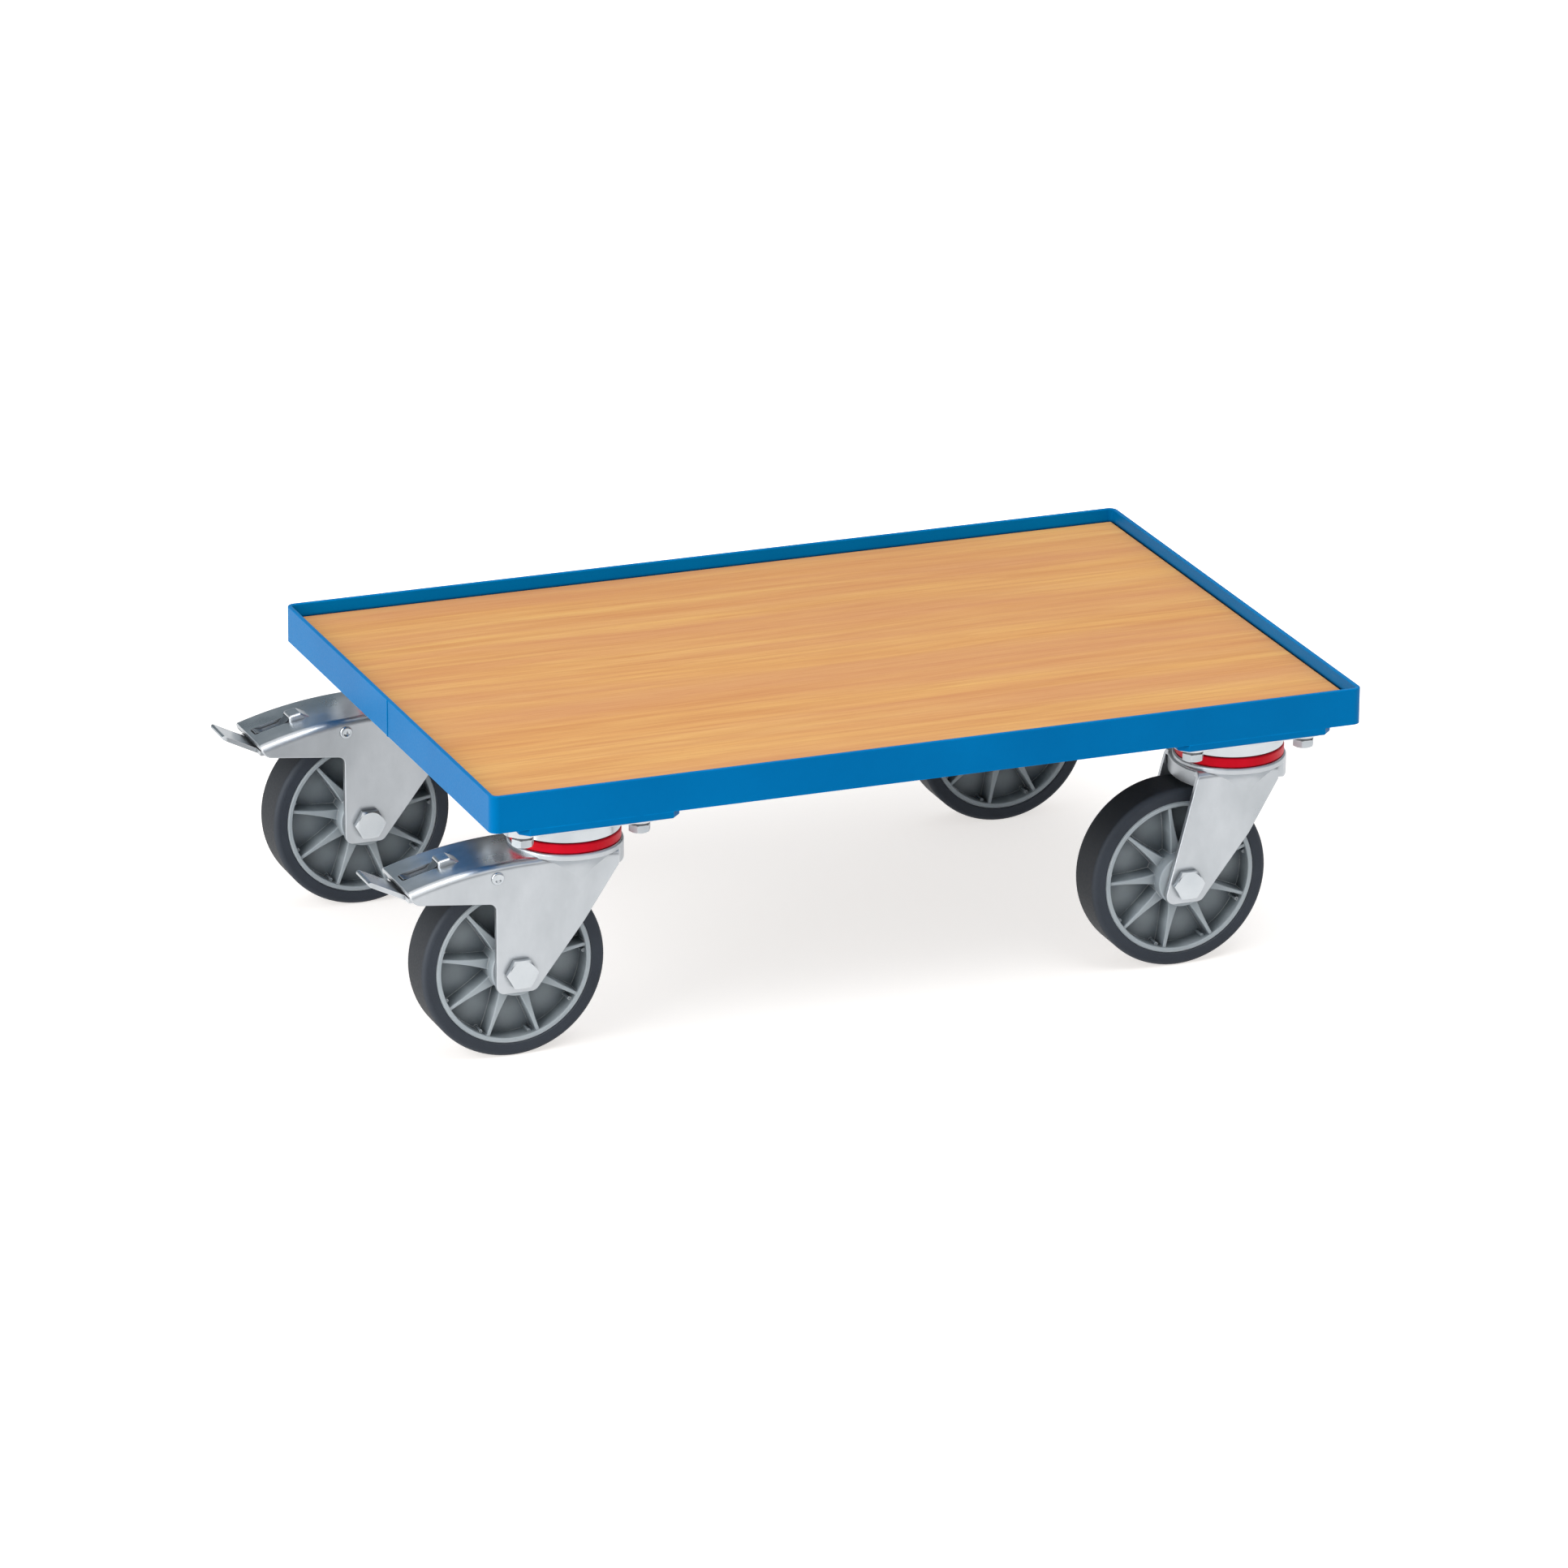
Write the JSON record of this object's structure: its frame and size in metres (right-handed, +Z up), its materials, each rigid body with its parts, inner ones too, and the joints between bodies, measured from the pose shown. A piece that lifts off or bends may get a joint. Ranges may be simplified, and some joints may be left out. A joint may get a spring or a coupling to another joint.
{
  "type": "crate dolly",
  "caption": "Low crate dolly: painted steel angle rim around an inlaid wooden board, on swivel castors, with foot brakes on the castors at one end.",
  "frame": {"origin": "centre of the board's top face", "axes": "+X along the long side, away from the braked castors, +Y to the back, +Z up from the board"},
  "size_m": [0.6791, 0.411, 0.195],
  "materials": {
    "blue_paint": "satin powder coat",
    "beech": "satin laminate with beech grain",
    "zinc": "bright zinc plating",
    "dark_steel": "phosphated",
    "bearing_steel": "ground",
    "spring_steel": "zinc plated",
    "red_seal": "smooth moulded",
    "grey_rim": "satin moulded",
    "dark_tyre": "matt elastomer",
    "black_nylon": "moulded",
    "black_rubber": "matt"
  },
  "bodies": {
    "deck": {"rim_frame": "blue_paint", "deck_board": "beech", "corner_plates": "blue_paint", "plate_screws": "zinc", "plate_washers": "zinc", "lock_washers": "dark_steel", "ball_rings": "bearing_steel", "top_plate_front_left": "zinc", "kingpin_front_left": "zinc", "lower_race_front_left": "bearing_steel", "top_plate_back_left": "zinc", "kingpin_back_left": "zinc", "lower_race_back_left": "bearing_steel", "top_plate_front_right": "zinc", "kingpin_front_right": "zinc", "lower_race_front_right": "bearing_steel", "top_plate_back_right": "zinc", "kingpin_back_right": "zinc", "lower_race_back_right": "bearing_steel"},
    "swivel_front_left": {"fork_front_left": "zinc", "seal_ring_front_left": "red_seal", "axle_bolt_front_left": "zinc", "axle_nut_front_left": "zinc", "axle_tube_front_left": "bearing_steel", "pivot_pin_front_left": "zinc", "brake_spring_front_left": "spring_steel"},
    "wheel_front_left": {"wheel_rim_front_left": "grey_rim", "tyre_front_left": "dark_tyre", "wheel_bearing_front_left": "black_nylon"},
    "pedal_front_left": {"brake_pedal_front_left": "zinc", "brake_shoe_front_left": "black_rubber"},
    "swivel_back_left": {"fork_back_left": "zinc", "seal_ring_back_left": "red_seal", "axle_bolt_back_left": "zinc", "axle_nut_back_left": "zinc", "axle_tube_back_left": "bearing_steel", "pivot_pin_back_left": "zinc", "brake_spring_back_left": "spring_steel"},
    "wheel_back_left": {"wheel_rim_back_left": "grey_rim", "tyre_back_left": "dark_tyre", "wheel_bearing_back_left": "black_nylon"},
    "pedal_back_left": {"brake_pedal_back_left": "zinc", "brake_shoe_back_left": "black_rubber"},
    "swivel_front_right": {"fork_front_right": "zinc", "seal_ring_front_right": "red_seal", "axle_bolt_front_right": "zinc", "axle_nut_front_right": "zinc", "axle_tube_front_right": "bearing_steel"},
    "wheel_front_right": {"wheel_rim_front_right": "grey_rim", "tyre_front_right": "dark_tyre", "wheel_bearing_front_right": "black_nylon"},
    "swivel_back_right": {"fork_back_right": "zinc", "seal_ring_back_right": "red_seal", "axle_bolt_back_right": "zinc", "axle_nut_back_right": "zinc", "axle_tube_back_right": "bearing_steel"},
    "wheel_back_right": {"wheel_rim_back_right": "grey_rim", "tyre_back_right": "dark_tyre", "wheel_bearing_back_right": "black_nylon"}
  },
  "joints": [
    {"name": "swivel_turn_front_left", "type": "hinge", "parent": "deck", "child": "swivel_front_left", "pos_m": [-0.235, -0.15, -0.021], "axis": [0, 0, 1], "continuous": true},
    {"name": "wheel_spin_front_left", "type": "hinge", "parent": "swivel_front_left", "child": "wheel_front_left", "pos_m": [-0.276, -0.15, -0.1235], "axis": [0, 1, 0], "continuous": true},
    {"name": "pedal_press_front_left", "type": "hinge", "parent": "swivel_front_left", "child": "pedal_front_left", "pos_m": [-0.2916, -0.15, -0.057], "axis": [0, -1, 0], "range_deg": [0, 9]},
    {"name": "swivel_turn_back_left", "type": "hinge", "parent": "deck", "child": "swivel_back_left", "pos_m": [-0.235, 0.15, -0.021], "axis": [0, 0, 1], "continuous": true},
    {"name": "wheel_spin_back_left", "type": "hinge", "parent": "swivel_back_left", "child": "wheel_back_left", "pos_m": [-0.276, 0.15, -0.1235], "axis": [0, 1, 0], "continuous": true},
    {"name": "pedal_press_back_left", "type": "hinge", "parent": "swivel_back_left", "child": "pedal_back_left", "pos_m": [-0.2916, 0.15, -0.057], "axis": [0, -1, 0], "range_deg": [0, 9]},
    {"name": "swivel_turn_front_right", "type": "hinge", "parent": "deck", "child": "swivel_front_right", "pos_m": [0.235, -0.15, -0.021], "axis": [0, 0, 1], "continuous": true},
    {"name": "wheel_spin_front_right", "type": "hinge", "parent": "swivel_front_right", "child": "wheel_front_right", "pos_m": [0.194, -0.15, -0.1235], "axis": [0, 1, 0], "continuous": true},
    {"name": "swivel_turn_back_right", "type": "hinge", "parent": "deck", "child": "swivel_back_right", "pos_m": [0.235, 0.15, -0.021], "axis": [0, 0, 1], "continuous": true},
    {"name": "wheel_spin_back_right", "type": "hinge", "parent": "swivel_back_right", "child": "wheel_back_right", "pos_m": [0.194, 0.15, -0.1235], "axis": [0, 1, 0], "continuous": true}
  ]
}
